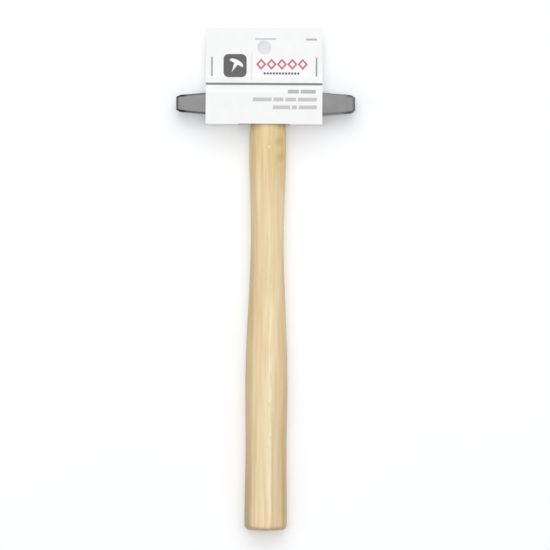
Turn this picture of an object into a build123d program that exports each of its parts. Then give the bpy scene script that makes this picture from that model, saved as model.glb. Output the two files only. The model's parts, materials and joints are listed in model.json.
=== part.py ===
from build123d import *
import os

# A tack hammer lying on its side, with its folded header card stapled round the head.
#
# Everything is in millimetres. The handle's centreline runs along Y and the head's top is towards +Y.
# The head's long axis is along X, with the driving face towards +X. +Z is up from the surface that the
# hammer lies on. The origin is on that surface, straight below the centre of the head's eye.

# Head: a slim forged bar, thickest at the eye, tapering to two small square faces
MAGNET_ARM = 60.0  # eye centre to the smaller, magnetic face, along -X
DRIVING_ARM = 57.0  # eye centre to the larger driving face, along +X
EYE_BLOCK_HALF = 20.5  # half length of the untapered block around the eye
BLOCK_HEIGHT = 17.2  # along Y
BLOCK_DEPTH = 17.6  # along Z
MAGNET_END_SIDE = 10.7  # side of the bar at the magnetic end, before its bevel
DRIVING_END_SIDE = 11.65  # side of the bar at the driving end, before its bevel
TAPER_BLEND_RADIUS = 45.0
LONG_EDGE_CHAMFER = 1.0
BEVEL_LENGTH = 2.4  # of both ends' bevels, along X
MAGNET_END_BEVEL = 1.1  # how far the bevel comes in on the end face
DRIVING_END_BEVEL = 1.6

# Eye and the tenon inside it
EYE_BOTTOM = (20.0, 10.4)  # along X, along Z
EYE_TOP = (21.6, 11.8)
EYE_CORNER = 4.6
EYE_CLEARANCE = 0.02
TENON_PROUD = 1.0

# Wedges, all driven in from the tenon's end
WOOD_WEDGE_THICKNESS = 2.4
WOOD_WEDGE_TIP = 0.4
WOOD_WEDGE_DEPTH = 14.0
STEEL_WEDGE_THICKNESS = 1.6
STEEL_WEDGE_TIP = 0.4
STEEL_WEDGE_WIDTH = 8.0
STEEL_WEDGE_DEPTH = 9.0
STEEL_WEDGE_BARBS = 3
STEEL_WEDGE_BARB = 0.12  # how far each step stands out
STEEL_WEDGE_X = 5.2

# Magnet glued into the smaller face
MAGNET_RADIUS = 3.175
MAGNET_LENGTH = 3.5
MAGNET_GLUE_GAP = 0.03

# Handle: a turned form, flattened along Z until its widest part just reaches the surface
SHOULDER_BELOW = 8.65  # the shoulder's distance below the head's centreline
HANDLE_LENGTH_BELOW = 279.3  # the butt's distance below the head's centreline
HANDLE_WIDTHS = (
    (SHOULDER_BELOW, 22.0),
    (24.0, 24.1),
    (44.0, 23.9),
    (66.0, 22.3),
    (92.0, 21.6),
    (118.0, 23.1),
    (148.0, 25.9),
    (180.0, 27.7),
    (228.0, 26.9),
    (262.0, 27.9),
    (275.2, 28.0),
)  # distance below the head's centreline, width along X
BUTT_FLAT_HALF = 10.8  # the butt is nearly flat this far from its centre
BUTT_DOME = 0.55

# Header card: one sheet folded under the head, with a slot for the handle, its flaps stapled together
CARD_WIDTH = 76.2
CARD_CENTRE_X = -2.6
CARD_THICKNESS = 0.5
CARD_CLEARANCE = 0.2  # between the card and the head's cheeks
FOLD_Y = -13.9  # outside of the fold under the head
SHOULDER_Y = 8.2  # where the panels start to close above the head
PINCH_Y = 17.6  # where the two flaps meet
CARD_TOP_Y = 49.8
FLAP_GAP = 0.1
SHOULDER_BEND = 3.0
PINCH_BEND = 3.0
CREASE_BEND = 0.8
CARD_CORNER_RADIUS = 1.5
SLOT_WIDTH = 33.4
SLOT_NOTCH = 0.75  # how far the slot shows in the front and back panels
SLOT_CORNER = 0.7
HANG_HOLE_RADIUS = 4.5
HANG_HOLE_Y = 37.0

# Staples
STAPLE_CROWN = 12.7
STAPLE_WIRE = 0.7
STAPLE_CLINCH = 5.2
STAPLE_BEND = 0.37
STAPLE_HOLE_GAP = 0.03
STAPLE_OFFSET_X = 34.2
STAPLE_Y = 24.4
STAPLE_LIFT = 0.03

# Worked out from the above
PANEL_HALF = BLOCK_DEPTH / 2 + CARD_CLEARANCE  # inside of a panel from the mid-plane
AXIS_Z = PANEL_HALF + CARD_THICKNESS  # height of the head's and handle's centrelines
TENON_TOP_Y = BLOCK_HEIGHT / 2 + TENON_PROUD
FLAP_OUTSIDE = FLAP_GAP / 2 + CARD_THICKNESS  # outside of a flap from the mid-plane

ALONG_Z_AT_AXIS = Plane((0, 0, AXIS_Z))


def tapered_outline(middle):
    """The head seen square on: parallel at the eye, tapering to each face."""
    corners = [
        (-MAGNET_ARM, MAGNET_END_SIDE / 2),
        (-EYE_BLOCK_HALF, middle / 2),
        (EYE_BLOCK_HALF, middle / 2),
        (DRIVING_ARM, DRIVING_END_SIDE / 2),
    ]
    mirrored = [(x, -y) for x, y in reversed(corners)]
    outline = make_face(Polyline(*corners, *mirrored, close=True))
    blends = [v for v in outline.vertices() if abs(abs(v.X) - EYE_BLOCK_HALF) < 0.01]
    return fillet(blends, TAPER_BLEND_RADIUS)


def eye_shape(shrink, bottom_y, top_y):
    """The flared oval of the eye between two heights, made smaller all round by shrink."""

    def section(y):
        share = (y + BLOCK_HEIGHT / 2) / BLOCK_HEIGHT
        width, depth = (low + (high - low) * share for low, high in zip(EYE_BOTTOM, EYE_TOP))
        across = Plane((0, y, AXIS_Z), x_dir=(1, 0, 0), z_dir=(0, 1, 0))
        return across * RectangleRounded(width - 2 * shrink, depth - 2 * shrink, EYE_CORNER - shrink)

    return loft([section(bottom_y), section(top_y)], ruled=True)


def magnet_cylinder(radius):
    face = Plane((-MAGNET_ARM, 0, AXIS_Z), x_dir=(0, 1, 0), z_dir=(-1, 0, 0))
    return extrude(face * Circle(radius), -MAGNET_LENGTH)


def is_long_edge(edge, around_ends):
    """True for the four lines of edges that run the length of the bar, between flat and cheek."""
    if edge in around_ends:
        return False
    return edge.bounding_box().size.X > 1.0


def hammer_head():
    front = tapered_outline(BLOCK_HEIGHT)
    above = tapered_outline(BLOCK_DEPTH)
    side_on = Plane((0, 0, AXIS_Z), x_dir=(1, 0, 0), z_dir=(0, -1, 0))
    bar = extrude(ALONG_Z_AT_AXIS * front, BLOCK_DEPTH, both=True)
    bar &= extrude(side_on * above, BLOCK_HEIGHT, both=True)
    end_faces = bar.faces().filter_by(Axis.X)
    around_ends = {edge for face in end_faces for edge in face.edges()}
    long_edges = [edge for edge in bar.edges() if is_long_edge(edge, around_ends)]
    bar = chamfer(long_edges, LONG_EDGE_CHAMFER)
    for end, bevel in ((0, MAGNET_END_BEVEL), (-1, DRIVING_END_BEVEL)):
        face = bar.faces().sort_by(Axis.X)[end]
        bar = chamfer(face.edges(), bevel, BEVEL_LENGTH, reference=face)
    overrun = 1.0
    bar -= eye_shape(0, -BLOCK_HEIGHT / 2 - overrun, BLOCK_HEIGHT / 2 + overrun)
    return bar - magnet_cylinder(MAGNET_RADIUS + MAGNET_GLUE_GAP)


def wood_wedge_blank():
    """A full-width wedge along the eye's long axis, thickest at the tenon's end."""
    tip_y = TENON_TOP_Y - WOOD_WEDGE_DEPTH
    profile = Plane.YZ * make_face(
        Polyline(
            (TENON_TOP_Y, AXIS_Z + WOOD_WEDGE_THICKNESS / 2),
            (tip_y, AXIS_Z + WOOD_WEDGE_TIP / 2),
            (tip_y, AXIS_Z - WOOD_WEDGE_TIP / 2),
            (TENON_TOP_Y, AXIS_Z - WOOD_WEDGE_THICKNESS / 2),
            close=True,
        )
    )
    return extrude(profile, EYE_TOP[0], both=True)


def steel_wedge(centre_x):
    """A barbed steel wedge across the wooden one: each step down its sides catches the wood."""
    step = STEEL_WEDGE_DEPTH / STEEL_WEDGE_BARBS
    narrowing = (STEEL_WEDGE_THICKNESS - STEEL_WEDGE_TIP) / 2 / STEEL_WEDGE_BARBS
    side = []
    for index in range(STEEL_WEDGE_BARBS):
        top = TENON_TOP_Y - index * step
        half = STEEL_WEDGE_THICKNESS / 2 - index * narrowing
        side += [(half, top), (half - narrowing - STEEL_WEDGE_BARB, top - step)]
    outline = side + [(-x, y) for x, y in reversed(side)]
    profile = make_face(Polyline(*[(centre_x + x, y) for x, y in outline], close=True))
    return extrude(ALONG_Z_AT_AXIS * profile, STEEL_WEDGE_WIDTH / 2, both=True)


def tenon_blank():
    return eye_shape(EYE_CLEARANCE, -SHOULDER_BELOW, TENON_TOP_Y)


def turned_handle():
    """The handle below the head: a turned form, flattened along Z."""
    sides = [(width / 2, -below) for below, width in HANDLE_WIDTHS]
    flank = Spline(*sides)
    butt_y = -HANDLE_LENGTH_BELOW
    corner = TangentArc(flank @ 1, (BUTT_FLAT_HALF, butt_y + BUTT_DOME), tangent=flank % 1)
    dome = ThreePointArc(corner @ 1, (BUTT_FLAT_HALF / 2, butt_y + BUTT_DOME / 4), (0, butt_y))
    centreline = Line(dome @ 1, (0, -SHOULDER_BELOW))
    shoulder = Line(centreline @ 1, flank @ 0)
    half_outline = make_face([flank, corner, dome, centreline, shoulder])
    turned = revolve(half_outline, Axis.Y)
    flattening = 2 * AXIS_Z / turned.bounding_box().size.X
    return Pos(0, 0, AXIS_Z) * scale(turned, by=(1, 1, flattening))


def handle(wedges):
    solid = turned_handle() + tenon_blank()
    for wedge in wedges:
        solid -= wedge
    return solid


def card_profile():
    """The sheet seen edge on: a panel each side of the head, closing to two flaps above it."""
    panel = PANEL_HALF + CARD_THICKNESS
    above_trim = CARD_TOP_Y + 2 * CARD_THICKNESS
    half = [(above_trim, FLAP_OUTSIDE), (PINCH_Y, FLAP_OUTSIDE), (SHOULDER_Y, panel), (FOLD_Y, panel)]
    outside = make_face(Polyline(*half, *[(y, -z) for y, z in reversed(half)], close=True))
    for bend_y, radius in ((PINCH_Y, PINCH_BEND), (SHOULDER_Y, SHOULDER_BEND), (FOLD_Y, CREASE_BEND)):
        bends = [corner for corner in outside.vertices() if abs(corner.X - bend_y) < 0.01]
        outside = fillet(bends, radius)
    sheet = outside - offset(outside, -CARD_THICKNESS)
    return sheet & Rectangle(2 * CARD_TOP_Y, 4 * panel)


def staple_centres_x():
    return {side: CARD_CENTRE_X + sign * STAPLE_OFFSET_X for side, sign in (("left", -1), ("right", 1))}


def header_card():
    edge_on = Plane((CARD_CENTRE_X, 0, AXIS_Z), x_dir=(0, 1, 0), z_dir=(1, 0, 0))
    card = extrude(edge_on * card_profile(), CARD_WIDTH / 2, both=True)
    top_corners = card.edges().filter_by(Axis.Z).group_by(Axis.Y)[-1]
    card = fillet(top_corners, CARD_CORNER_RADIUS)
    through = 2 * AXIS_Z
    slot = RectangleRounded(SLOT_WIDTH, 2 * SLOT_NOTCH, SLOT_CORNER)
    card -= extrude(Pos(CARD_CENTRE_X, FOLD_Y, AXIS_Z) * slot, through, both=True)
    card -= Pos(CARD_CENTRE_X, HANG_HOLE_Y, AXIS_Z) * Cylinder(HANG_HOLE_RADIUS, through)
    leg_hole = Cylinder(STAPLE_WIRE / 2 + STAPLE_HOLE_GAP, through)
    leg_offset = (STAPLE_CROWN - STAPLE_WIRE) / 2
    for centre_x in staple_centres_x().values():
        for leg in (-leg_offset, leg_offset):
            card -= Pos(centre_x, STAPLE_Y + leg, AXIS_Z) * leg_hole
    return card


def staple(centre_x):
    """Crown on the front flap, legs through both flaps, tips clinched inwards on the back."""
    leg = (STAPLE_CROWN - STAPLE_WIRE) / 2
    height = FLAP_OUTSIDE + STAPLE_LIFT + STAPLE_WIRE / 2
    tip = leg - STAPLE_CLINCH
    points = [(-tip, -height), (-leg, -height), (-leg, height)]
    points += [(-y, z) for y, z in reversed(points)]
    edge_on = Plane((centre_x, STAPLE_Y, AXIS_Z), x_dir=(0, 1, 0), z_dir=(1, 0, 0))
    path = edge_on * FilletPolyline(*points, radius=STAPLE_BEND)
    start = Plane(path @ 0, z_dir=path % 0)
    return sweep(start * Circle(STAPLE_WIRE / 2), path=path)


def main():
    steel_wedges = {
        "steel_wedge_left": steel_wedge(-STEEL_WEDGE_X),
        "steel_wedge_right": steel_wedge(STEEL_WEDGE_X),
    }
    wood_wedge = wood_wedge_blank() & tenon_blank()
    for cutter in steel_wedges.values():
        wood_wedge -= cutter
    nodes = {
        "hammer_head": hammer_head(),
        "handle": handle([wood_wedge_blank(), *steel_wedges.values()]),
        "wooden_wedge": wood_wedge,
        "face_magnet": magnet_cylinder(MAGNET_RADIUS),
        "header_card": header_card(),
        **steel_wedges,
    }
    for side, centre_x in staple_centres_x().items():
        nodes[f"staple_{side}"] = staple(centre_x)
    os.makedirs("parts", exist_ok=True)
    for name, shape in nodes.items():
        export_step(shape, f"parts/{name}.step")


main()
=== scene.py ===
import json
import math

import bmesh
import bpy
import numpy as np
from mathutils import Matrix, Vector, noise
from mathutils.bvhtree import BVHTree
from mathutils.geometry import delaunay_2d_cdt


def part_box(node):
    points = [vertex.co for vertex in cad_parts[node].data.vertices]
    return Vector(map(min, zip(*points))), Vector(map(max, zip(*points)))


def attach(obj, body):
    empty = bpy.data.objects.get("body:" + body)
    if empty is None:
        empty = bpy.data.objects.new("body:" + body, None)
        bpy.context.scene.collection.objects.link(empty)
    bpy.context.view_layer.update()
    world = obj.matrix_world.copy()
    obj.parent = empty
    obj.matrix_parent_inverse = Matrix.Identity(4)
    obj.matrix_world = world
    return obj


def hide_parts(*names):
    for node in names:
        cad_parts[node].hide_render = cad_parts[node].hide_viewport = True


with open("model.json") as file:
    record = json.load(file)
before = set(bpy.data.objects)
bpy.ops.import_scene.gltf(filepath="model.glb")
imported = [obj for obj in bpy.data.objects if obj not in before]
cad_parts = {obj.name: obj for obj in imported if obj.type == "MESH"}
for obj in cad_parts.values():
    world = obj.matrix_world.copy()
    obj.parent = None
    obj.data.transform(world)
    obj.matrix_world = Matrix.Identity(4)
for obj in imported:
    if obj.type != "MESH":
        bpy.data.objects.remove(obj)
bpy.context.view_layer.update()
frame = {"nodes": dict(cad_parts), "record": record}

# The looks of a tack hammer that lies on its side in a folded and stapled header card.
# X runs along the head, Y up the handle to the head, Z up from the surface. Sizes are in metres,
# and what the paint and the lines of bars are given is in millimetres.

MM = 0.001
NODES = frame["nodes"]
STEEL_WEDGES = ["steel_wedge_left", "steel_wedge_right"]

# Places that come from the frame
CARD_LOW, CARD_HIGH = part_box("header_card")
HEAD_LOW, HEAD_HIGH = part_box("hammer_head")
HANDLE_LOW, HANDLE_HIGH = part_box("handle")
MAGNET_LOW, MAGNET_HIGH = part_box("face_magnet")
AXIS_Z = (HEAD_LOW.z + HEAD_HIGH.z) / 2
CARD_CENTRE_X = (CARD_LOW.x + CARD_HIGH.x) / 2
HANG_HOLE = next(m for m in frame["record"]["mounts"] if m["name"] == "hang_hole")

# Head
EYE_BLOCK_HALF = 20.5 * MM
TAPER_SOFTNESS = 0.45 * MM  # how far the taper's start is eased
MAGNET_END_HALF = 5.35 * MM  # half side at the magnetic end, before its bevel
DRIVING_END_HALF = 5.825 * MM
LONG_CHAMFER = 1.0 * MM
BEVEL_LENGTH = 2.4 * MM
MAGNET_END_BEVEL = 1.1 * MM
DRIVING_END_BEVEL = 1.6 * MM
BEVEL_SOFTNESS = 0.3
CHEEK_BEVEL = 0.5  # the bevels towards the cheeks reach half as far
EDGE_ROUNDING = 0.28 * MM
CORNER_POINTS = 4
SIDE_PARTS = 10
EYE_BOTTOM_HALF = (10.0 * MM, 5.2 * MM)
EYE_TOP_HALF = (10.8 * MM, 5.9 * MM)
EYE_CORNER = 4.6 * MM
EYE_SIDES = 64
EYE_OVERRUN = 1.0 * MM  # how far the eye's cutter stands out of the head
GLUE_GAP = 0.03 * MM
POCKET_BREAK = 0.1 * MM  # the broken edge of the magnet's pocket
STATION_SPACING = 2.0 * MM

# Handle
SHOULDER_Y = HEAD_LOW.y - 0.05 * MM
BELOW_SHOULDER = 0.02 * MM
TENON_GAP = 0.02 * MM
TENON_RINGS = 8
HANDLE_SIDES = 112
RING_SPACING = 0.62 * MM
RING_SMOOTHING = 12  # rings each side
BUTT_REACH = 12 * MM  # how far up the butt its rings fan out
BUTT_FAN = 36
SANDING_DEPTH = 0.07 * MM
SANDING_WAVES = (70, 22)  # in a metre, across and along the grain
GRAIN_DEPTH = 0.022 * MM
GRAIN_WAVES = (900, 24)
RELIEF_FADE = 6 * MM  # the half width below which the relief dies away
OUTSIDE = 0.05  # a distance that is clear of the handle

# Header card
BOARD = 0.5 * MM
FLAP_GAP = 0.1 * MM
PINCH_Y = 17.6 * MM
CLOSING_Y = 8.2 * MM  # where the panels start to close above the head
SOFT_BEND = 3.0 * MM
CREASE = 0.8 * MM
ARC_DEGREES = 9
FEWEST_ARC_STEPS = 4
CARD_CORNER = 1.5 * MM
SLOT_WIDTH = 33.4 * MM
SLOT_NOTCH = 0.75 * MM
SLOT_CORNER = 0.7 * MM
FLAP_BULGE = 0.3 * MM
BULGE_HALF_WIDTH = 34.2 * MM
BULGE_WAVES = 60  # in a metre
PANEL_DIP = 0.12 * MM
DIP_WAVES = 45
BOARD_STEP = 1.4 * MM
CORNER_ROWS = 6
HOLE_SIDES = 72
HOLE_REACH = 4 * MM
SLOT_SIDES = 32
SLOT_REACH = AXIS_Z + 2 * MM

# Print on the card
INK_LIFT = 0.03 * MM
INK_ROOT = 0.05 * MM  # how far each mark's sides go into the board
INK_GRID = (0.8 * MM, 0.16 * MM)  # fine enough to follow the board round its bends
INK_EDGE = 0.25 * MM
FILL_HULL = 0
MERGE_WITHIN = 1e-9
BAR_POINTS = 24
RULE_Y = 12.9 * MM
RULE_HEIGHT = 1.5 * MM
RULE_MARGIN = 0.01 * MM
BADGE_PLACE = (-21.7 * MM, 25.0 * MM)
BADGE_SIDE = 15.2 * MM
BADGE_CORNER = 3.4 * MM
TACK_SIZE = 9.6 * MM
TACK_LEAN = math.radians(-28)
TUFT_X = [(-4.6 + 6.8 * k) * MM for k in range(5)]
TUFT_Y = 26.0 * MM
TUFT_HALF = (3.35 * MM, 3.7 * MM)
TUFT_STROKE = 1.15 * MM
STUD_X = [(-2.3 + 2.0 * k) * MM for k in range(12)]
STUD_Y = 20.0 * MM
STUD_RADIUS = 0.78 * MM
DIVIDER_PLACE = (-10.7 * MM, 24.9 * MM)
DIVIDER_SIZE = (0.45 * MM, 18.3 * MM)
DIVIDER_CORNER = 0.1 * MM
WORD_GAP = 1.1 * MM
WORD_CORNER = 0.3 * MM

# Lines of bars in millimetres: the right end, the place up the card, and the bars' height and widths
TEXT_LINES = [(31.9, 2.7, 2.5, (12.3, 6.6, 7.2, 12.4)), (31.9, -2.4, 2.5, (11.4, 3.4, 11.8))]
TITLE_LINES = [(31.2, 7.9, 2.5, (7.3, 9.9))]
SMALL_LINES = [(5.0, 42.5, 0.8, (13.7,)), (31.9, 42.3, 1.3, (7.2,))]

# Stage. Each soft box has its lean from overhead and half its spread in degrees, and its radiance
FLOOR_HALF = 6.0
FLOOR_DROP = 0.1 * MM
LIGHT_DISTANCE = 5.0
LIGHT_TARGET = Vector((0.0, -0.11, 0.0))
SOFTBOXES = {
    "softbox_overhead": ((0.0, 6.0), (17.0, 17.0), 2.75),
    "softbox_top": ((0.0, 41.0), (28.0, 17.0), 2.2),
    "softbox_left": ((-42.0, 0.0), (12.0, 25.0), 0.9),
    "softbox_right": ((42.0, 0.0), (12.0, 25.0), 0.6),
}
WORLD_STRENGTH = 0.36
CAMERA_PLACE = (5.2 * MM, -111.9 * MM, 3.4)
CAMERA_SPAN = 0.36  # the width in view, at the height of the head's axis
CAMERA_SENSOR = 36.0
CAMERA_FAR = 20.0
CAMERA_ROLL = math.radians(0.32)


# ---- mesh helpers


def add_object(name, data):
    added = bpy.data.objects.new(name, data)
    bpy.context.scene.collection.objects.link(added)
    return added


def add_mesh(name, points, faces):
    mesh = bpy.data.meshes.new(name)
    mesh.from_pydata([tuple(p) for p in points], [], faces)
    mesh.validate()
    return add_object(name, mesh)


def mesh_piece(name, points, faces, body):
    piece = add_mesh(name, points, faces)
    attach(piece, body)
    return piece


def recalculate_normals(piece):
    work = bmesh.new()
    work.from_mesh(piece.data)
    bmesh.ops.recalc_face_normals(work, faces=work.faces)
    work.to_mesh(piece.data)
    work.free()


def smooth_shading(piece, sharp_degrees=32):
    for face in piece.data.polygons:
        face.use_smooth = True
    piece.data.set_sharp_from_angle(angle=math.radians(sharp_degrees))


def lofted_faces(ring_count, side_count):
    """Quads between rings of side_count points each, laid out one ring after another."""
    faces = []
    for ring in range(ring_count - 1):
        for side in range(side_count):
            following = (side + 1) % side_count
            low, high = ring * side_count, (ring + 1) * side_count
            faces.append((low + side, low + following, high + following, high + side))
    return faces


def bake_modifiers(piece):
    evaluated = piece.evaluated_get(bpy.context.evaluated_depsgraph_get())
    mesh = bpy.data.meshes.new_from_object(evaluated)
    piece.modifiers.clear()
    piece.data = mesh


def cut(piece, points, faces):
    """Takes the closed form with these points and faces out of the piece."""
    cutter = add_mesh("cutter", points, faces)
    recalculate_normals(cutter)
    modifier = piece.modifiers.new("cut", "BOOLEAN")
    modifier.operation = "DIFFERENCE"
    modifier.solver = "EXACT"
    modifier.object = cutter
    bpy.context.view_layer.update()
    bake_modifiers(piece)
    bpy.data.objects.remove(cutter)


def prism(rings):
    """Points and faces of a closed form through rings that all have as many points."""
    side_count = len(rings[0])
    points = [p for ring in rings for p in ring]
    faces = lofted_faces(len(rings), side_count)
    faces.append(tuple(reversed(range(side_count))))
    last = (len(rings) - 1) * side_count
    faces.append(tuple(range(last, last + side_count)))
    return points, faces


def rounded_rectangle(half_u, half_v, radius, count):
    """count points round a rectangle with round corners, as (u, v), from +u towards +v."""
    per_corner = count // 4
    points = []
    for corner in range(4):
        sign_u = 1 if corner in (0, 3) else -1
        sign_v = 1 if corner in (0, 1) else -1
        for step in range(per_corner):
            angle = math.pi / 2 * (corner + (step + 0.5) / per_corner)
            u = sign_u * (half_u - radius) + radius * math.cos(angle)
            v = sign_v * (half_v - radius) + radius * math.sin(angle)
            points.append((u, v))
    return points


def smoothed(values, reach):
    """Each value averaged with its neighbours, up to reach each side, under a raised cosine."""
    window = 0.5 + 0.5 * np.cos(np.linspace(-math.pi, math.pi, 2 * reach + 3)[1:-1])
    padded = np.pad(np.asarray(values, float), reach, mode="reflect", reflect_type="odd")
    return np.convolve(padded, window / window.sum(), mode="valid")


# ---- materials


class Paint:
    """A node material under construction. Its methods add nodes and wire them."""

    def __init__(self, name):
        self.material = bpy.data.materials.new(name)
        self.material.use_nodes = True
        self.tree = self.material.node_tree
        self.shader = self.tree.nodes["Principled BSDF"]
        self.coordinates = self.tree.nodes.new("ShaderNodeTexCoord")

    def add(self, kind, inputs, output=0, **settings):
        node = self.tree.nodes.new(kind)
        for setting, value in settings.items():
            setattr(node, setting, value)
        for key, value in inputs.items():
            self.plug(node.inputs[key], value)
        return node.outputs[output]

    def plug(self, socket, value):
        if isinstance(value, bpy.types.NodeSocket):
            self.tree.links.new(value, socket)
        else:
            socket.default_value = value

    def math(self, operation, a, b=0.0):
        return self.add("ShaderNodeMath", {0: a, 1: b}, operation=operation)

    def plus(self, a, b):
        return self.math("ADD", a, b)

    def minus(self, a, b):
        return self.math("SUBTRACT", a, b)

    def times(self, a, b):
        return self.math("MULTIPLY", a, b)

    def vector(self, operation, a, b):
        return self.add("ShaderNodeVectorMath", {0: a, 1: b}, operation=operation)

    def split(self, vector):
        """The vector's X, Y and Z."""
        return list(self.add("ShaderNodeSeparateXYZ", {0: vector}).node.outputs)

    def place(self, stretch=(1.0, 1.0, 1.0), shift=(0.0, 0.0, 0.0)):
        """The place on the piece in millimetres, moved by shift and then scaled by stretch."""
        scale = [s / MM for s in stretch]
        offset = [d * s for d, s in zip(shift, stretch)]
        moved = self.vector("MULTIPLY", self.coordinates.outputs["Object"], scale)
        return self.vector("ADD", moved, offset)

    def noise(self, stretch, shift=(0.0, 0.0, 0.0), detail=3.0, roughness=0.55, distortion=0.0):
        """Noise with as many waves in a millimetre as stretch says along X, Y and Z."""
        inputs = {"Vector": self.place(stretch, shift), "Scale": 1.0, "Detail": detail}
        inputs.update({"Roughness": roughness, "Distortion": distortion})
        return self.add("ShaderNodeTexNoise", inputs, output="Fac")

    def ramp(self, value, low, high, to_low=0.0, to_high=1.0):
        """value, from low..high to to_low..to_high, eased at both ends and held outside."""
        inputs = {"Value": value, 1: low, 2: high, 3: to_low, 4: to_high}
        return self.add("ShaderNodeMapRange", inputs, interpolation_type="SMOOTHSTEP")

    def blend(self, share, a, b, mode="MIX"):
        """Colour a, going to colour b as share goes to 1."""
        inputs = {"Factor": share, 6: as_colour(a), 7: as_colour(b)}
        settings = {"data_type": "RGBA", "blend_type": mode, "clamp_result": True}
        return self.add("ShaderNodeMix", inputs, output=2, **settings)

    def bump(self, height, millimetres, strength, normal=None):
        inputs = {"Height": height, "Strength": strength, "Distance": millimetres * MM}
        if normal is not None:
            inputs["Normal"] = normal
        return self.add("ShaderNodeBump", inputs)

    def finish(self, **inputs):
        for key, value in inputs.items():
            self.plug(self.shader.inputs[key.replace("_", " ")], value)
        return self.material


def as_colour(value):
    return value if isinstance(value, bpy.types.NodeSocket) else (*value, 1.0)


def dress(piece, *materials):
    piece.data.materials.clear()
    for material in materials:
        piece.data.materials.append(material)


def dress_nodes(names, material):
    for name in names:
        for slot in NODES[name].material_slots:
            slot.material = material


# ---- wood


def soft_spot(paint, x, y, centre, radii):
    """1 at the centre of an oval, fading to 0 around it."""
    across = paint.math("DIVIDE", paint.minus(x, centre[0]), radii[0])
    along = paint.math("DIVIDE", paint.minus(y, centre[1]), radii[1])
    return bell(paint, paint.plus(paint.times(across, across), paint.times(along, along)))


def bell(paint, square):
    """1 where the squared distance is 0, falling off smoothly to 0."""
    return paint.math("EXPONENT", paint.times(square, -1.0))


def growth_rings(paint, x, y, z, knot):
    """Bands round a pith that runs nearly parallel to the handle, well outside it, and bend at knots."""
    pith_lean, pith_x, pith_depth = 0.018, 31.0, 24.0
    wandering, bulging, ring_width = 9.0, 4.2, 3.4
    drift = paint.noise((0.05, 0.006, 0.05), detail=2.0)
    wander = paint.times(paint.minus(drift, 0.5), wandering)
    across = paint.plus(x, paint.plus(paint.times(y, pith_lean), pith_x))
    deep = paint.plus(z, pith_depth)
    square = paint.plus(paint.times(across, across), paint.times(deep, deep))
    radius = paint.plus(paint.math("SQRT", square), wander)
    bent = paint.plus(radius, paint.times(knot, bulging))
    phase = paint.times(bent, 2 * math.pi / ring_width)
    return paint.ramp(paint.math("SINE", phase), -1.0, 1.0)


def pale_streak(paint, x, y):
    """A ragged pale line that runs up the grip, a little right of its middle."""
    sway = paint.noise((0.0, 0.025, 0.0), (0.0, 3.0, 0.0), detail=2.0)
    centre = paint.plus(paint.times(sway, 3.6), 0.5)
    off = paint.minus(x, centre)
    line = bell(paint, paint.times(off, off))
    breaks = paint.noise((0.9, 0.06, 0.9), (2.0, 0.0, 5.0), detail=4.0)
    ragged = paint.times(line, paint.ramp(breaks, 0.32, 0.55))
    return paint.times(ragged, paint.ramp(y, -115.0, -145.0))


def side_grain(paint, x, y, ring, fibre, fleck):
    """Straight grain: bands, pale fibres, the pale streak, dark hairs, two pin knots and flecks."""
    broad = paint.noise((0.32, 0.012, 0.32), (3.0, 0.0, 9.0), detail=2.0)
    hair = paint.noise((8.0, 0.16, 8.0), (1.7, 0.0, 0.3))
    upper_knot = soft_spot(paint, x, y, (7.5, -24.5), (3.0, 3.0))
    lower_knot = soft_spot(paint, x, y, (8.6, -35.0), (2.4, 3.2))
    beside_streak = paint.times(paint.ramp(x, 2.8, 4.4), paint.ramp(x, 9.5, 5.0))
    beside_streak = paint.times(beside_streak, paint.ramp(y, -150.0, -262.0, 0.1, 1.0))

    grain = paint.blend(paint.ramp(broad, 0.34, 0.66), (0.71, 0.545, 0.315), (0.83, 0.685, 0.435))
    grain = paint.blend(paint.ramp(ring, 0.0, 1.0, 0.0, 0.16), grain, (0.66, 0.475, 0.255))
    grain = paint.blend(paint.ramp(fibre, 0.3, 0.7, 0.0, 0.26), grain, (0.88, 0.745, 0.5))
    grain = paint.blend(beside_streak, grain, (0.85, 0.82, 0.79), "MULTIPLY")
    grain = paint.blend(paint.times(pale_streak(paint, x, y), 0.75), grain, (0.96, 0.83, 0.585))
    grain = paint.blend(paint.ramp(hair, 0.55, 0.75, 0.0, 0.12), grain, (0.52, 0.36, 0.19))
    knots = paint.times(paint.plus(upper_knot, lower_knot), 0.55)
    grain = paint.blend(knots, grain, (0.57, 0.41, 0.17))
    return paint.blend(paint.times(fleck, 0.4), grain, (0.42, 0.27, 0.13))


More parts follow.
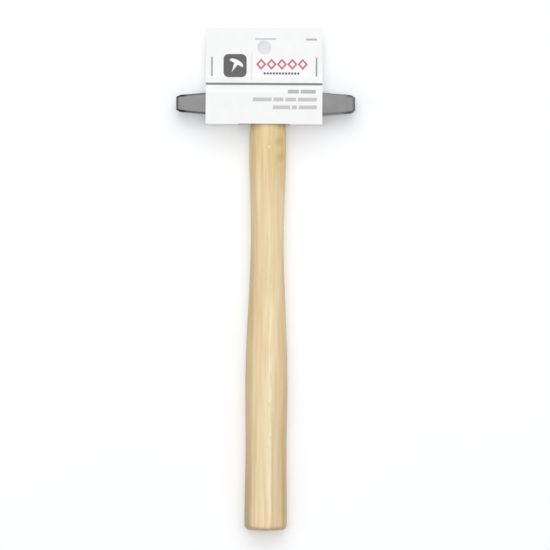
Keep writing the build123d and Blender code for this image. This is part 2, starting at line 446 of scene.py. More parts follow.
def toned(paint, x, y, upward, grain):
    """The grain in its broad tones: patches, a yellow neck and a rosy butt, with painted shade on the
    flanks and one painted glint.
    """
    patch = paint.noise((0.11, 0.028, 0.11), (0.0, 5.0, 7.0), detail=2.0)
    yellow = paint.plus(paint.ramp(y, -185.0, -125.0, 0.0, 0.3), paint.ramp(y, -60.0, -34.0, 0.0, 0.7))
    # Painted shade: the flanks are darkened where the surface turns from facing up, more on the left and
    # towards the butt.
    depth = paint.ramp(x, 2.0, -8.0, 0.0, 0.33)
    depth = paint.plus(depth, paint.ramp(y, -60.0, -200.0, 0.0, 0.3))
    depth = paint.plus(depth, paint.ramp(y, -200.0, -262.0, 0.0, 0.36))
    painted_flank_shade = paint.times(paint.ramp(paint.math("ABSOLUTE", upward), 0.99, 0.7), depth)
    clear = soft_spot(paint, x, y, (1.0, -66.0), (7.0, 24.0))
    glint = paint.times(soft_spot(paint, x, y, (0.9, -28.1), (0.5, 0.6)), 0.8)
    rosy = paint.ramp(y, -258.0, -274.0, 0.0, 0.6)

    grain = paint.blend(paint.ramp(patch, 0.52, 0.66, 0.0, 0.6), grain, (0.94, 0.955, 0.83), "MULTIPLY")
    grain = paint.blend(paint.ramp(patch, 0.48, 0.34, 0.0, 0.6), grain, (1.0, 0.945, 0.92), "MULTIPLY")
    grain = paint.blend(yellow, grain, (0.93, 0.89, 0.74), "MULTIPLY")
    # Painted shade on the flanks, from the normal's tilt.
    grain = paint.blend(painted_flank_shade, grain, (0.63, 0.57, 0.47), "MULTIPLY")
    grain = paint.blend(clear, grain, (1.06, 1.1, 1.085), "MULTIPLY")
    grain = paint.blend(glint, grain, (0.97, 0.86, 0.64))
    return paint.blend(rosy, grain, (1.03, 0.96, 0.97), "MULTIPLY")


def end_grain(paint, ring):
    """End grain soaks up more of the lacquer, so it is a little darker and pinker."""
    pores = paint.ramp(paint.noise((5.0, 1.0, 5.0), detail=4.0), 0.42, 0.62)
    colour = paint.blend(pores, (0.58, 0.37, 0.22), (0.74, 0.51, 0.325))
    return paint.blend(paint.times(ring, 0.25), colour, (0.45, 0.28, 0.15))


def handle_wood():
    """Pale, straight-grained hardwood under a thin satin lacquer."""
    paint = Paint("handle_wood")
    x, y, z = paint.split(paint.place())
    toward = paint.split(paint.coordinates.outputs["Normal"])
    ring = growth_rings(paint, x, y, z, soft_spot(paint, x, y, (7.5, -28.0), (5.5, 11.0)))
    fibre = paint.noise((2.6, 0.045, 2.6), detail=5.0, roughness=0.7)
    fleck_field = paint.noise((2.1, 0.17, 2.1), (11.0, 4.0, 2.0), detail=2.0)
    near_streak = paint.times(soft_spot(paint, x, y, (2.6, -215.0), (3.4, 70.0)), 0.07)
    fleck = paint.ramp(paint.plus(fleck_field, near_streak), 0.7, 0.76)

    grain = toned(paint, x, y, toward[2], side_grain(paint, x, y, ring, fibre, fleck))
    end = paint.ramp(paint.times(toward[1], -1.0), 0.35, 0.95)
    relief = paint.bump(fibre, 0.05, 0.5)
    return paint.finish(
        Base_Color=paint.blend(end, grain, end_grain(paint, ring)),
        Roughness=paint.ramp(fibre, 0.25, 0.75, 0.42, 0.54),
        Normal=paint.bump(fleck, -0.05, 0.6, relief),
        Coat_Weight=0.12,
        Coat_Roughness=0.3,
        Coat_IOR=1.48,
    )


def wedge_wood():
    """Darker, unfinished hardwood, cut with the grain along the wedge's length."""
    paint = Paint("wedge_wood")
    fibre = paint.noise((1.6, 0.12, 1.6), detail=5.0, roughness=0.7)
    pores = paint.noise((6.0, 0.9, 6.0))
    colour = paint.blend(paint.ramp(fibre, 0.3, 0.7), (0.33, 0.19, 0.09), (0.52, 0.33, 0.17))
    colour = paint.blend(paint.ramp(pores, 0.58, 0.7, 0.0, 0.6), colour, (0.14, 0.08, 0.04))
    return paint.finish(
        Base_Color=colour,
        Roughness=paint.ramp(fibre, 0.2, 0.8, 0.62, 0.8),
        Normal=paint.bump(fibre, 0.12, 0.6),
    )


# ---- metal


def from_nearer_end(paint, x):
    """The distance in millimetres to the head's nearer face."""
    to_driving = paint.minus(HEAD_HIGH.x / MM, x)
    to_magnet = paint.minus(x, HEAD_LOW.x / MM)
    return paint.math("MINIMUM", to_driving, to_magnet)


def dark_oxide(paint, lay, pits):
    """Dark grey steel, lighter along its lay and in its scratches."""
    cloud = paint.noise((0.11, 0.16, 0.16), (4.0, 0.0, 1.0))
    scratch_field = paint.noise((0.35, 14.0, 14.0), (0.0, 6.0, 0.0), detail=2.0, distortion=0.6)
    scratch = paint.ramp(scratch_field, 0.7, 0.74)
    oxide = paint.blend(paint.ramp(cloud, 0.3, 0.7), (0.164, 0.166, 0.164), (0.185, 0.187, 0.185))
    oxide = paint.blend(paint.ramp(lay, 0.3, 0.7, 0.0, 0.25), oxide, (0.215, 0.217, 0.214))
    oxide = paint.blend(paint.times(scratch, 0.3), oxide, (0.32, 0.32, 0.317))
    return paint.blend(paint.times(pits, 0.4), oxide, (0.09, 0.089, 0.088))


def ground_ends(paint, x, along, lay):
    """Bright ground faces inside dulled bevels, which are lighter at the driving end."""
    bright = paint.blend(paint.ramp(lay, 0.3, 0.7), (0.26, 0.26, 0.255), (0.36, 0.36, 0.355))
    dulled = paint.blend(paint.ramp(x, -30.0, 30.0), (0.13, 0.13, 0.128), (0.235, 0.235, 0.232))
    return paint.blend(paint.ramp(along, 0.8, 0.97), dulled, bright)


def rubbed_chamfers(paint, x, chamfer, ragged, colour):
    """The colour with its long chamfers worn to lighter metal, more so towards the driving end."""
    worn = paint.times(paint.ramp(x, -30.0, 30.0, 0.5, 0.9), paint.ramp(ragged, 0.3, 0.6, 0.6, 1.0))
    rubbed = paint.blend(paint.ramp(x, -30.0, 30.0), (0.2, 0.2, 0.198), (0.34, 0.34, 0.336))
    return paint.blend(paint.times(chamfer, worn), colour, rubbed)


def black_scale(paint, x, y, chamfer, ragged, colour):
    """The colour with black scale on the chamfers near both ends, creeping over their edges."""
    from_end = from_nearer_end(paint, x)
    reach = paint.plus(from_end, paint.times(ragged, 5.0))
    near_end = paint.times(paint.ramp(reach, 11.0, 6.5), paint.ramp(x, -30.0, 30.0, 1.0, 0.55))
    scale = paint.blend(paint.ramp(ragged, 0.35, 0.7), (0.008, 0.008, 0.008), (0.02, 0.019, 0.018))
    edge = paint.plus(paint.times(from_end, 0.08), 5.5)
    beyond_edge = paint.minus(paint.math("ABSOLUTE", y), edge)
    crept = paint.math("MAXIMUM", chamfer, paint.ramp(beyond_edge, -2.0, -1.1, 0.0, 0.75))
    return paint.blend(paint.times(crept, near_end), colour, scale)


def head_steel():
    """Dark, oiled steel with ground faces, worn long edges and black scale at its corners."""
    paint = Paint("head_steel")
    x, y = paint.split(paint.place())[:2]
    toward = paint.split(paint.coordinates.outputs["Normal"])
    along, upright, outward = [paint.math("ABSOLUTE", part) for part in toward]
    lay = paint.noise((0.25, 9.0, 9.0), detail=4.0, roughness=0.7)
    pits = paint.ramp(paint.noise((2.4, 2.4, 2.4)), 0.7, 0.78)
    ragged = paint.noise((0.5, 1.1, 1.1), (2.0, 5.0, 0.0), detail=4.0)
    ground = paint.ramp(along, 0.2, 0.36)
    chamfer = paint.ramp(paint.math("MINIMUM", upright, outward), 0.12, 0.4)

    colour = paint.blend(ground, dark_oxide(paint, lay, pits), ground_ends(paint, x, along, lay))
    colour = rubbed_chamfers(paint, x, chamfer, ragged, colour)
    colour = black_scale(paint, x, y, chamfer, ragged, colour)
    gloss = paint.plus(paint.ramp(lay, 0.25, 0.75, 0.4, 0.48), paint.times(ground, -0.08))
    relief = paint.bump(pits, -0.03, 0.6, paint.bump(lay, 0.012, 0.5))
    return paint.finish(Base_Color=colour, Metallic=1.0, Roughness=gloss, Normal=relief)


def wedge_steel():
    """Blued sheet steel with shear marks."""
    paint = Paint("wedge_steel")
    lay = paint.noise((3.0, 0.3, 12.0), detail=4.0)
    cloud = paint.noise((0.6, 0.6, 0.6))
    colour = paint.blend(paint.ramp(cloud, 0.3, 0.7), (0.19, 0.2, 0.22), (0.3, 0.29, 0.28))
    colour = paint.blend(paint.ramp(lay, 0.4, 0.7, 0.0, 0.35), colour, (0.42, 0.41, 0.4))
    return paint.finish(
        Base_Color=colour,
        Metallic=1.0,
        Roughness=paint.ramp(lay, 0.3, 0.7, 0.38, 0.52),
        Normal=paint.bump(lay, 0.02, 0.5),
    )


def magnet_nickel():
    """Bright nickel plating with fine turning rings and a worn rim."""
    paint = Paint("magnet_nickel")
    centre = (MAGNET_LOW + MAGNET_HIGH) / 2
    radial = paint.place((0.0, 1.0, 1.0), [-c / MM for c in centre])
    length = paint.add("ShaderNodeVectorMath", {0: radial}, output="Value", operation="LENGTH")
    rings = paint.ramp(paint.math("SINE", paint.times(length, 26.0)), -1.0, 1.0)
    cloud = paint.noise((0.7, 0.7, 0.7), detail=4.0)
    colour = paint.blend(paint.ramp(cloud, 0.3, 0.7), (0.5, 0.485, 0.45), (0.64, 0.62, 0.58))
    worn_rim = paint.times(paint.ramp(length, 2.75, 3.1), 0.55)
    colour = paint.blend(worn_rim, colour, (0.3, 0.28, 0.25))
    return paint.finish(
        Base_Color=colour,
        Metallic=1.0,
        Roughness=paint.ramp(cloud, 0.3, 0.7, 0.16, 0.28),
        Normal=paint.bump(rings, 0.004, 0.5),
    )


def staple_wire():
    """Zinc-coated wire with drawing lines along it."""
    paint = Paint("staple_wire")
    lines = paint.noise((9.0, 0.35, 9.0), detail=4.0)
    cloud = paint.noise((0.5, 0.5, 0.5))
    colour = paint.blend(paint.ramp(cloud, 0.3, 0.7), (0.2, 0.203, 0.207), (0.3, 0.303, 0.307))
    colour = paint.blend(paint.ramp(lines, 0.5, 0.7, 0.0, 0.4), colour, (0.12, 0.12, 0.123))
    return paint.finish(
        Base_Color=colour,
        Metallic=1.0,
        Roughness=paint.ramp(lines, 0.3, 0.7, 0.26, 0.4),
        Normal=paint.bump(lines, 0.01, 0.5),
    )


# ---- board and ink


def coated_board():
    """Bright white clay-coated face: nearly smooth, with a trace of the fibre below."""
    paint = Paint("coated_board")
    mottle = paint.noise((0.16, 0.16, 0.16), detail=4.0)
    fibre = paint.noise((2.2, 3.1, 2.2), detail=5.0, roughness=0.65)
    speck = paint.ramp(paint.noise((1.3, 1.3, 1.3), (7.0, 3.0, 0.0)), 0.74, 0.78)
    colour = paint.blend(paint.ramp(mottle, 0.3, 0.7), (0.845, 0.85, 0.852), (0.865, 0.868, 0.868))
    colour = paint.blend(paint.ramp(fibre, 0.35, 0.7, 0.0, 0.35), colour, (0.83, 0.832, 0.83))
    colour = paint.blend(paint.times(speck, 0.15), colour, (0.55, 0.54, 0.52))
    return paint.finish(
        Base_Color=colour,
        Roughness=paint.ramp(fibre, 0.3, 0.7, 0.4, 0.5),
        Normal=paint.bump(fibre, 0.012, 0.4),
        Specular_IOR_Level=0.4,
    )


def raw_board():
    """The board's uncoated side and its cut edges: greyer, warmer and fibrous."""
    paint = Paint("raw_board")
    fibre = paint.noise((1.7, 1.1, 1.7), detail=6.0, roughness=0.7, distortion=0.7)
    strand = paint.ramp(paint.noise((0.8, 5.0, 3.0), detail=4.0), 0.6, 0.7)
    colour = paint.blend(paint.ramp(fibre, 0.3, 0.7), (0.68, 0.665, 0.63), (0.79, 0.78, 0.75))
    colour = paint.blend(paint.times(strand, 0.3), colour, (0.5, 0.47, 0.42))
    return paint.finish(
        Base_Color=colour,
        Roughness=paint.ramp(fibre, 0.3, 0.7, 0.8, 0.93),
        Normal=paint.bump(fibre, 0.04, 0.6),
    )


def ink(name, light, dark):
    """Offset ink, with the slight mottle that it dries to on coated board."""
    paint = Paint(name)
    mottle = paint.noise((1.4, 1.4, 1.4), detail=5.0, roughness=0.7)
    dots = paint.noise((9.0, 9.0, 9.0), (3.0, 1.0, 0.0), detail=1.0)
    colour = paint.blend(paint.ramp(mottle, 0.3, 0.7), dark, light)
    colour = paint.blend(paint.ramp(dots, 0.66, 0.74, 0.0, 0.25), colour, (0.8, 0.8, 0.8))
    return paint.finish(
        Base_Color=colour,
        Roughness=paint.ramp(mottle, 0.3, 0.7, 0.38, 0.5),
        Normal=paint.bump(mottle, 0.006, 0.4),
    )


# ---- handle


def handle_profile():
    """(half width, y) up the handle from the middle of its butt, read from the CAD surface."""
    mesh = NODES["handle"].data
    tree = BVHTree.FromPolygons([v.co for v in mesh.vertices], [p.vertices[:] for p in mesh.polygons])
    fan_centre = Vector((0.0, HANDLE_LOW.y + BUTT_REACH, AXIS_Z))
    fan = []
    for step in range(BUTT_FAN + 1):
        angle = math.pi / 2 * step / BUTT_FAN
        direction = Vector((math.sin(angle), -math.cos(angle), 0.0))
        hit = tree.ray_cast(fan_centre + direction * OUTSIDE, -direction)[0]
        fan.append((max(hit.x, 0.0), hit.y))
    count = int((SHOULDER_Y - fan_centre.y) / RING_SPACING)
    heights = np.linspace(fan_centre.y, SHOULDER_Y - BELOW_SHOULDER, count + 1)[1:]
    sideways = Vector((1.0, 0.0, 0.0))
    widths = []
    for y in heights:
        start = Vector((0.0, y, AXIS_Z)) + sideways * OUTSIDE
        widths.append(tree.ray_cast(start, -sideways)[0].x)
    return fan + list(zip(smoothed(widths, RING_SMOOTHING), heights))


def waves(place, across, along):
    """Smooth noise from 0 to 1 with so many waves in a metre, across and along the handle."""
    return 0.5 + 0.5 * noise.noise(Vector((place.x * across, place.y * along, place.z * across)))


def handle_ring(half_width, y, flattening):
    ring = []
    for side in range(HANDLE_SIDES):
        angle = 2 * math.pi * (side + 0.5) / HANDLE_SIDES
        out = Vector((math.cos(angle), 0.0, math.sin(angle) * flattening))
        place = Vector((0.0, y, AXIS_Z)) + out * half_width
        depth = SANDING_DEPTH * waves(place, *SANDING_WAVES) + GRAIN_DEPTH * waves(place, *GRAIN_WAVES)
        fade = min(1.0, half_width / RELIEF_FADE)
        ring.append(place - out.normalized() * depth * fade)
    return ring


def eye_ring(y, gap, count):
    """count points round the tapered eye at height y, drawn in by gap."""
    share = (y - HEAD_LOW.y) / (HEAD_HIGH.y - HEAD_LOW.y)
    halves = zip(EYE_BOTTOM_HALF, EYE_TOP_HALF)
    half_u, half_v = (low + (high - low) * share - gap for low, high in halves)
    outline = rounded_rectangle(half_u, half_v, EYE_CORNER - gap, count)
    return [Vector((u, y, AXIS_Z + v)) for u, v in outline]


def build_handle():
    profile = handle_profile()
    flattening = AXIS_Z / max(width for width, y in profile)
    rings = [handle_ring(width, y, flattening) for width, y in profile[1:]]
    tenon_heights = np.linspace(SHOULDER_Y, HANDLE_HIGH.y, TENON_RINGS)
    rings += [eye_ring(y, TENON_GAP, HANDLE_SIDES) for y in tenon_heights]
    points = [p for ring in rings for p in ring]
    faces = lofted_faces(len(rings), HANDLE_SIDES)
    butt_centre = len(points)
    points.append(Vector((0.0, profile[0][1], AXIS_Z)))
    for side in range(HANDLE_SIDES):
        faces.append((butt_centre, (side + 1) % HANDLE_SIDES, side))
    last = (len(rings) - 1) * HANDLE_SIDES
    faces.append(tuple(range(last, last + HANDLE_SIDES)))
    piece = mesh_piece("wooden_handle", points, faces, "hammer")
    recalculate_normals(piece)
    for name in ["wooden_wedge", *STEEL_WEDGES]:
        cut_like_node(piece, name)
    smooth_shading(piece)
    dress(piece, handle_wood())
    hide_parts("handle")


def cut_like_node(piece, name):
    """Takes the CAD node's form out of the piece."""
    work = bmesh.new()
    work.from_mesh(NODES[name].data)
    bmesh.ops.remove_doubles(work, verts=work.verts, dist=1e-6)
    work.verts.index_update()
    points = [v.co.copy() for v in work.verts]
    faces = [tuple(v.index for v in face.verts) for face in work.faces]
    work.free()
    cut(piece, points, faces)


# ---- head


def soft_minimum(a, b, softness):
    return 0.5 * (a + b - math.sqrt((a - b) ** 2 + softness**2))


def taper_half(x, block_half):
    """Half the bar's height or depth at x: parallel at the eye, then straight to each end."""
    if x < 0:
        end_half, arm = MAGNET_END_HALF, -HEAD_LOW.x
    else:
        end_half, arm = DRIVING_END_HALF, HEAD_HIGH.x
    slope = (block_half - end_half) / (arm - EYE_BLOCK_HALF)
    return soft_minimum(block_half, block_half - slope * (abs(x) - EYE_BLOCK_HALF), TAPER_SOFTNESS)


def bevel_inset(x, size=1.0):
    """How far the end's bevel, size times its full reach, has come in at x, with its edges eased."""
    if x < 0:
        bevel, from_end = MAGNET_END_BEVEL * size, x - HEAD_LOW.x
    else:
        bevel, from_end = DRIVING_END_BEVEL * size, HEAD_HIGH.x - x
    share = 1.0 - from_end / (BEVEL_LENGTH * size)
    return bevel * 0.5 * (share + math.sqrt(share**2 + BEVEL_SOFTNESS**2))


def octagon(half_u, half_v, chamfer, rounding):
    """Points round a rectangle with chamfered corners, all eight rounded, and with its sides divided."""
    corners = [
        (half_u, half_v - chamfer),
        (half_u - chamfer, half_v),
        (-half_u + chamfer, half_v),
        (-half_u, half_v - chamfer),
        (-half_u, -half_v + chamfer),
        (-half_u + chamfer, -half_v),
        (half_u - chamfer, -half_v),
        (half_u, -half_v + chamfer),
    ]
    inset = rounding * math.tan(math.pi / 8)
    points = []
    for index, corner in enumerate(corners):
        here = Vector(corner)
        before = (Vector(corners[index - 1]) - here).normalized() * inset
        after = (Vector(corners[(index + 1) % 8]) - here).normalized() * inset
        for step in range(CORNER_POINTS):
            t = step / (CORNER_POINTS - 1)
            points.append(here + before * (1 - t) ** 2 + after * t**2)
        if index % 2:
            start, end = points[-1], Vector(corners[(index + 1) % 8]) - after
            points += [start.lerp(end, step / SIDE_PARTS) for step in range(1, SIDE_PARTS)]
    return points


def head_stations():
    """x of each ring along the head, closer together near the ends."""
    ends = [0.0, 0.06, 0.14, 0.25, 0.4, 0.7, 1.1, 1.6, 1.9, 2.1, 2.25, 2.4, 2.55, 2.7, 2.9, 3.2]
    stations = [HEAD_LOW.x + d * MM for d in ends] + [HEAD_HIGH.x - d * MM for d in ends]
    middle = np.arange(HEAD_LOW.x + 5 * MM, HEAD_HIGH.x - 4 * MM, STATION_SPACING)
    return sorted(stations + [float(x) for x in middle])


def head_ring(x):
    half_y = taper_half(x, HEAD_HIGH.y) - bevel_inset(x)
    half_z = taper_half(x, HEAD_HIGH.z - AXIS_Z) - bevel_inset(x, CHEEK_BEVEL)
    from_end = min(x - HEAD_LOW.x, HEAD_HIGH.x - x)
    rim = max(0.0, EDGE_ROUNDING - from_end)
    pull = EDGE_ROUNDING - math.sqrt(max(0.0, EDGE_ROUNDING**2 - rim**2))
    outline = octagon(half_y - pull, half_z - pull, LONG_CHAMFER, EDGE_ROUNDING)
    return [Vector((x, u, AXIS_Z + v)) for u, v in outline]


def shrunk_ring(ring, share):
    centre = Vector((ring[0].x, 0.0, AXIS_Z))
    return [centre + (p - centre) * share for p in ring]


def circle_like(ring, radius, x):
    """A circle round the head's axis with a point for each of the ring's, at the same angles."""
    points = []
    for p in ring:
        out = Vector((0.0, p.y, p.z - AXIS_Z)).normalized()
        points.append(Vector((x, 0.0, AXIS_Z)) + out * radius)
    return points


def build_head():
    rings = [head_ring(x) for x in head_stations()]
    radius = (MAGNET_HIGH.y - MAGNET_LOW.y) / 2 + GLUE_GAP
    pocket = [
        circle_like(rings[0], radius, MAGNET_HIGH.x),
        circle_like(rings[0], radius, HEAD_LOW.x + POCKET_BREAK),
        circle_like(rings[0], radius + POCKET_BREAK, HEAD_LOW.x),
    ]
    driving_face = [shrunk_ring(rings[-1], share) for share in (0.66, 0.33)]
    points, faces = prism(pocket + rings + driving_face)
    piece = mesh_piece("ground_steel_head", points, faces, "hammer")
    recalculate_normals(piece)
    heights = (HEAD_LOW.y - EYE_OVERRUN, HEAD_HIGH.y + EYE_OVERRUN)
    cut(piece, *prism([eye_ring(y, 0.0, EYE_SIDES) for y in heights]))
    smooth_shading(piece)
    dress(piece, head_steel())
    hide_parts("hammer_head")


# ---- header card


def rounded_path(corners, radii, step):
    """Evenly spaced points along straight runs joined by tangent arcs at the inner corners."""
    points = [Vector(corners[0])]
    for index in range(1, len(corners) - 1):
        here = Vector(corners[index])
        back = (Vector(corners[index - 1]) - here).normalized()
        on = (Vector(corners[index + 1]) - here).normalized()
        turn = math.pi - back.angle(on)
        radius = radii[index - 1]
        reach = radius * math.tan(turn / 2)
        start, end = here + back * reach, here + on * reach
        centre = here + (back + on).normalized() * (radius / math.cos(turn / 2))
        add_run(points, start, step)
        arc_steps = max(FEWEST_ARC_STEPS, int(math.degrees(turn) / ARC_DEGREES))
        for arc_step in range(1, arc_steps + 1):
            spoke = (start - centre).slerp(end - centre, arc_step / arc_steps)
            points.append(centre + spoke * radius)
    add_run(points, Vector(corners[-1]), step)
    return points


def add_run(points, end, step):
    start = points[-1].copy()
    count = max(1, round((end - start).length / step))
    for index in range(1, count + 1):
        points.append(start.lerp(end, index / count))


def card_path():
    """The middle of the board seen edge on, as (y, z from the axis), from front top to back top."""
    flap = (FLAP_GAP + BOARD) / 2
    panel = CARD_HIGH.z - AXIS_Z - BOARD / 2 - INK_LIFT
    fold = CARD_LOW.y + BOARD / 2
    front = [(CARD_HIGH.y, flap), (PINCH_Y, flap), (CLOSING_Y, panel), (fold, panel)]
    back = [(y, -z) for y, z in reversed(front)]
    inner = [SOFT_BEND - BOARD / 2, SOFT_BEND - BOARD / 2, CREASE - BOARD / 2]
    return rounded_path(front + back, inner + inner[::-1], BOARD_STEP)


def flap_bulge(x, y, side):
    """How far a flap stands out between the crease and its top, most a little below its middle."""
    up = (y - PINCH_Y) / (CARD_HIGH.y - PINCH_Y)
    across = (x - CARD_CENTRE_X) / BULGE_HALF_WIDTH
    pace, start = 1.15, 0.03
    shape = math.sin(math.pi * min(1.0, up * pace + start)) ** 2
    ripple = 0.25 * noise.noise(Vector((x * BULGE_WAVES, y * BULGE_WAVES, 3.0 * side)))
    return FLAP_BULGE * max(0.0, 1.0 - across**2) * shape * (1.0 + ripple)


def panel_dip(x, y, side):
    """How far a panel sags between the fold and its shoulder."""
    low, high = CARD_LOW.y + 2 * MM, CLOSING_Y - 1 * MM
    up = min(max((y - low) / (high - low), 0.0), 1.0)
    ripple = 0.4 * noise.noise(Vector((x * DIP_WAVES, y * DIP_WAVES, side)))
    return PANEL_DIP * math.sin(math.pi * up) * (0.6 + ripple)


def card_warp(x, y, z):
    """How far the board leaves its flat form, along +Z on the front and -Z on the back."""
    side = 1.0 if z > 0 else -1.0
    if y > PINCH_Y:
        return side * flap_bulge(x, y, side)
    return -side * panel_dip(x, y, side)


def card_half_width(y):
    """Half the card's width at height y: it narrows round the two top corners."""
    half = (CARD_HIGH.x - CARD_LOW.x) / 2
    into_corner = y - (CARD_HIGH.y - CARD_CORNER)
    if into_corner <= 0:
        return half
    return half - CARD_CORNER + math.sqrt(max(0.0, CARD_CORNER**2 - into_corner**2))


def corner_rows(path):
    """The path with rows added near both top edges, so that the round corners come out round."""
    angles = [math.pi / 2 * k / CORNER_ROWS for k in range(CORNER_ROWS, 0, -1)]
    drops = [CARD_CORNER * (1 - math.sin(angle)) for angle in angles]
    start = [Vector((CARD_HIGH.y - drop, path[0].y)) for drop in drops]
    end = [Vector((p.x, -p.y)) for p in reversed(start)]
    kept = [p for p in path if p.x < CARD_HIGH.y - CARD_CORNER]
    return start + kept + end


def card_skins(path, columns):
    """Points over the board's outer and inner skins, row by row along the path."""
    outer, inner = [], []
    for index, p in enumerate(path):
        before, after = path[max(index - 1, 0)], path[min(index + 1, len(path) - 1)]
        along = (after - before).normalized()
        out = Vector((along.y, -along.x))
        half = card_half_width(p.x)
        for column in range(columns + 1):
            x = CARD_CENTRE_X + half * (2 * column / columns - 1)
            lift = card_warp(x, p.x, p.y)
            for skin, offset in ((outer, BOARD / 2), (inner, -BOARD / 2)):
                y, z = p + out * offset
                skin.append(Vector((x, y, AXIS_Z + z + lift)))
    return outer, inner


def grid_faces(rows, width):
    faces = []
    for row in range(rows - 1):
        for first in range(row * width, row * width + width - 1):
            faces.append((first, first + 1, first + width + 1, first + width))
    return faces


def grid_rim(rows, width):
    """The points once round the edge of a grid."""
    rim = list(range(width))
    rim += [row * width + width - 1 for row in range(1, rows)]
    rim += [(rows - 1) * width + column for column in range(width - 2, -1, -1)]
    return rim + [row * width for row in range(rows - 2, 0, -1)]


def build_card():
    path = corner_rows(card_path())
    columns = int((CARD_HIGH.x - CARD_LOW.x) / BOARD_STEP)
    outer, inner = card_skins(path, columns)
    size = len(outer)
    coated = grid_faces(len(path), columns + 1)
    raw = [tuple(size + i for i in reversed(face)) for face in coated]
    rim = grid_rim(len(path), columns + 1)
    for here, following in zip(rim, rim[1:] + rim[:1]):
        raw.append((following, here, size + here, size + following))
    piece = mesh_piece("folded_card", outer + inner, coated + raw, "card")
    dress(piece, coated_board(), raw_board())
    for face in piece.data.polygons:
        face.material_index = 0 if face.index < len(coated) else 1
    recalculate_normals(piece)
    cut_openings(piece)
    smooth_shading(piece, sharp_degrees=40)
    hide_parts("header_card")
    return piece


def cut_openings(piece):
    """The hang hole through both flaps, and the slot for the handle across the fold."""
    radius = HANG_HOLE["dims"]["r_mm"] * MM
    hole = rounded_rectangle(radius, radius, radius, HOLE_SIDES)
    cut(piece, *through_cutter(hole, *HANG_HOLE["pos_m"][:2], HOLE_REACH))
    slot = rounded_rectangle(SLOT_WIDTH / 2, SLOT_NOTCH, SLOT_CORNER, SLOT_SIDES)
    cut(piece, *through_cutter(slot, CARD_CENTRE_X, CARD_LOW.y, SLOT_REACH))


def through_cutter(outline, centre_x, centre_y, reach):
    """A closed form with this outline that goes reach above and below the card's mid-plane."""
    rings = []
    for z in (AXIS_Z - reach, AXIS_Z + reach):
        rings.append([Vector((centre_x + u, centre_y + v, z)) for u, v in outline])
    return prism(rings)


# ---- print on the card


def divided(outline):
    """The outline with points added, so that no two are more than INK_EDGE apart."""
    points = []
    for index, here in enumerate(outline):
        start, end = Vector(outline[index - 1]), Vector(here)
        count = max(1, math.ceil((end - start).length / INK_EDGE))
        points += [start.lerp(end, step / count) for step in range(1, count + 1)]
    return points


def filled(outlines):
    """Triangles over an outer outline less the outlines inside it, fine enough to follow the board."""
    outlines = [divided(outline) for outline in outlines]
    points, edges = [], []
    for outline in outlines:
        start, count = len(points), len(outline)
        points += outline
        edges += [(start + i, start + (i + 1) % count) for i in range(count)]
    low = [min(p[axis] for p in points) for axis in (0, 1)]
    high = [max(p[axis] for p in points) for axis in (0, 1)]
    across, up = (int((high[axis] - low[axis]) / INK_GRID[axis]) for axis in (0, 1))
    for i in range(1, across):
        for j in range(1, up):
            candidate = Vector((low[0] + i * INK_GRID[0], low[1] + j * INK_GRID[1]))
            if is_marked(candidate, outlines):
                points.append(candidate)
    made, _, triangles, _, _, _ = delaunay_2d_cdt(points, edges, [], FILL_HULL, MERGE_WITHIN)
    centres = [sum((made[i] for i in triangle), Vector((0.0, 0.0))) / 3 for triangle in triangles]
    return made, [tuple(t) for t, centre in zip(triangles, centres) if is_marked(centre, outlines)]


def is_marked(point, outlines):
    return inside(point, outlines[0]) and not any(inside(point, hole) for hole in outlines[1:])


def inside(point, outline):
    crossings = False
    for index, here in enumerate(outline):
        before = outline[index - 1]
        if (here[1] > point.y) != (before[1] > point.y):
            x = here[0] + (point.y - here[1]) / (before[1] - here[1]) * (before[0] - here[0])
            crossings ^= point.x < x
    return crossings


def printed(name, shapes, card_tree, material):
    """One piece for a set of marks, each a list of outlines, laid on the card's front."""
    points, faces = [], []
    for outlines in shapes:
        flat, triangles = filled(outlines)
        start, count = len(points), len(flat)
        heights = [front_height(card_tree, p) for p in flat]
        points += [Vector((p.x, p.y, z + INK_LIFT)) for p, z in zip(flat, heights)]
        points += [Vector((p.x, p.y, z - INK_ROOT)) for p, z in zip(flat, heights)]
        edges = []
        for a, b, c in triangles:
            faces.append((start + a, start + b, start + c))
            faces.append((start + count + c, start + count + b, start + count + a))
            edges += [(a, b), (b, c), (c, a)]
        known = set(edges)
        for a, b in edges:
            if (b, a) not in known:
                faces.append((start + b, start + a, start + count + a, start + count + b))
    piece = mesh_piece(name, points, faces, "card")
    recalculate_normals(piece)
    smooth_shading(piece)
    dress(piece, material)


def front_height(card_tree, point):
    inset = 0.05 * MM
    x = min(max(point.x, CARD_LOW.x + inset), CARD_HIGH.x - inset)
    hit = card_tree.ray_cast(Vector((x, point.y, 1.0)), Vector((0.0, 0.0, -1.0)))[0]
    return hit.z


def bar(centre_x, centre_y, width, height, radius):
    """A mark of one outline: a bar with round corners."""
    outline = rounded_rectangle(width / 2, height / 2, radius, BAR_POINTS)
    return [[(centre_x + u, centre_y + v) for u, v in outline]]


def disc(centre_x, centre_y, radius):
    return bar(centre_x, centre_y, 2 * radius, 2 * radius, radius)


def diamond_ring(centre_x, centre_y, half_width, half_height, stroke):
    """A diamond's outer and inner outline, a stroke apart."""
    outlines = []
    for inset in (0.0, stroke):
        shrink = 1 - inset * math.hypot(half_width, half_height) / (half_width * half_height)
        u, v = half_width * shrink, half_height * shrink
        steps = [(u, 0.0), (0.0, v), (-u, 0.0), (0.0, -v)]
        outlines.append([(centre_x + across, centre_y + up) for across, up in steps])
    return outlines


def tack_outline(centre_x, centre_y, size, lean):
    """A tack seen from the side: a low domed cap over a tapered shank."""
    angles = [math.pi * k / 12 for k in range(13)]
    dome = [(math.cos(angle) * 0.5, 0.22 + math.sin(angle) * 0.2) for angle in angles]
    shank = [(-0.13, 0.14), (0.0, -0.5), (0.13, 0.14)]
    turned = Matrix.Rotation(lean, 2)
    points = [turned @ Vector(p) for p in dome + [(-0.5, 0.14)] + shank + [(0.5, 0.14)]]
    return [(centre_x + p.x * size, centre_y + p.y * size) for p in points]


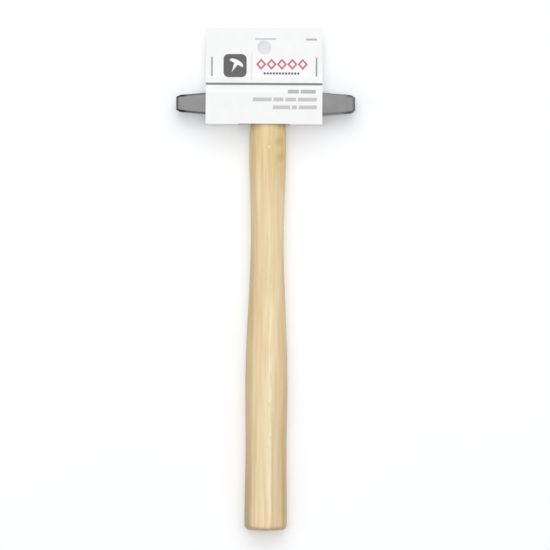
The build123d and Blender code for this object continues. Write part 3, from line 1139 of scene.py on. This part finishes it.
def word_bars(lines):
    """Plain bars that stand for lines of small print, ranged right."""
    bars = []
    for right, centre_y, height, widths in lines:
        end = right * MM
        for width in [value * MM for value in reversed(widths)]:
            bars.append(bar(end - width / 2, centre_y * MM, width, height * MM, WORD_CORNER))
            end -= width + WORD_GAP
    return bars


def build_print(card):
    tree = BVHTree.FromObject(card, bpy.context.evaluated_depsgraph_get())
    grey = ink("ink_grey", (0.225, 0.23, 0.235), (0.18, 0.185, 0.19))
    dark = ink("ink_dark_grey", (0.086, 0.084, 0.086), (0.067, 0.066, 0.068))
    middle = ink("ink_middle_grey", (0.45, 0.45, 0.46), (0.39, 0.39, 0.4))
    pale = ink("ink_pale_grey", (0.55, 0.55, 0.56), (0.48, 0.48, 0.49))
    faint = ink("ink_faint_grey", (0.66, 0.665, 0.67), (0.61, 0.615, 0.62))
    rose = ink("ink_rose", (0.62, 0.12, 0.18), (0.54, 0.085, 0.14))

    rule_width = CARD_HIGH.x - CARD_LOW.x - 2 * RULE_MARGIN
    rule = bar(CARD_CENTRE_X, RULE_Y, rule_width, RULE_HEIGHT, RULE_MARGIN)
    badge = bar(*BADGE_PLACE, BADGE_SIDE, BADGE_SIDE, BADGE_CORNER)
    badge.append(tack_outline(*BADGE_PLACE, TACK_SIZE, TACK_LEAN))
    tufts = [diamond_ring(x, TUFT_Y, *TUFT_HALF, TUFT_STROKE) for x in TUFT_X]
    studs = [disc(x, STUD_Y, STUD_RADIUS) for x in STUD_X]
    divider = bar(*DIVIDER_PLACE, *DIVIDER_SIZE, DIVIDER_CORNER)

    printed("printed_rule", [rule], tree, grey)
    printed("printed_badge", [badge], tree, dark)
    printed("printed_tufting", tufts, tree, rose)
    printed("printed_studs", studs, tree, dark)
    printed("printed_text_bars", word_bars(TEXT_LINES), tree, pale)
    printed("printed_title_bars", word_bars(TITLE_LINES), tree, middle)
    printed("printed_small_bars", word_bars(SMALL_LINES), tree, middle)
    printed("printed_divider", [divider], tree, faint)


# ---- stage


def build_floor():
    sides = [(-1, -1), (1, -1), (1, 1), (-1, 1)]
    corners = [(FLOOR_HALF * x, FLOOR_HALF * y, -FLOOR_DROP) for x, y in sides]
    floor = add_mesh("floor", corners, [(0, 1, 2, 3)])
    paint = Paint("floor_white")
    mottle = paint.noise((0.004, 0.004, 0.004), detail=2.0)
    colour = paint.blend(mottle, (0.762, 0.771, 0.788), (0.782, 0.791, 0.808))
    glow = {"Emission_Color": (1.0, 1.0, 1.0, 1.0), "Emission_Strength": 0.2}
    dress(floor, paint.finish(Base_Color=colour, Roughness=0.9, Specular_IOR_Level=0.1, **glow))


def softbox(name, lean, half_spread, radiance):
    """A soft box that leans from straight overhead and spreads to both sides, in degrees."""
    toward = Vector((*[math.tan(math.radians(angle)) for angle in lean], 1.0))
    sizes = [2 * LIGHT_DISTANCE * math.tan(math.radians(angle)) for angle in half_spread]
    light = bpy.data.lights.new(name, "AREA")
    light.shape = "RECTANGLE"
    light.size, light.size_y = sizes
    light.energy = radiance * math.pi * light.size * light.size_y
    holder = add_object(name, light)
    holder.location = LIGHT_TARGET + toward.normalized() * LIGHT_DISTANCE
    holder.rotation_euler = toward.to_track_quat("Z", "Y").to_euler()


def build_lights():
    for name, settings in SOFTBOXES.items():
        softbox(name, *settings)
    world = bpy.data.worlds.new("studio")
    world.use_nodes = True
    background = world.node_tree.nodes["Background"]
    background.inputs["Color"].default_value = (1.0, 1.0, 1.0, 1.0)
    background.inputs["Strength"].default_value = WORLD_STRENGTH
    bpy.context.scene.world = world
    bpy.context.scene.view_settings.view_transform = "Standard"


def build_camera():
    """Straight down through a long lens, turned a touch so that the handle leans as it lies."""
    camera = bpy.data.cameras.new("camera")
    camera.sensor_width = CAMERA_SENSOR
    camera.lens = CAMERA_SENSOR * (CAMERA_PLACE[2] - AXIS_Z) / CAMERA_SPAN
    camera.clip_end = CAMERA_FAR
    holder = add_object("camera", camera)
    holder.location = CAMERA_PLACE
    holder.rotation_euler = (0.0, 0.0, CAMERA_ROLL)
    bpy.context.scene.camera = holder


def main():
    build_camera()
    build_lights()
    build_floor()
    build_handle()
    build_head()
    build_print(build_card())
    dress_nodes(["wooden_wedge"], wedge_wood())
    dress_nodes(STEEL_WEDGES, wedge_steel())
    dress_nodes(["face_magnet"], magnet_nickel())
    dress_nodes(["staple_left", "staple_right"], staple_wire())


main()
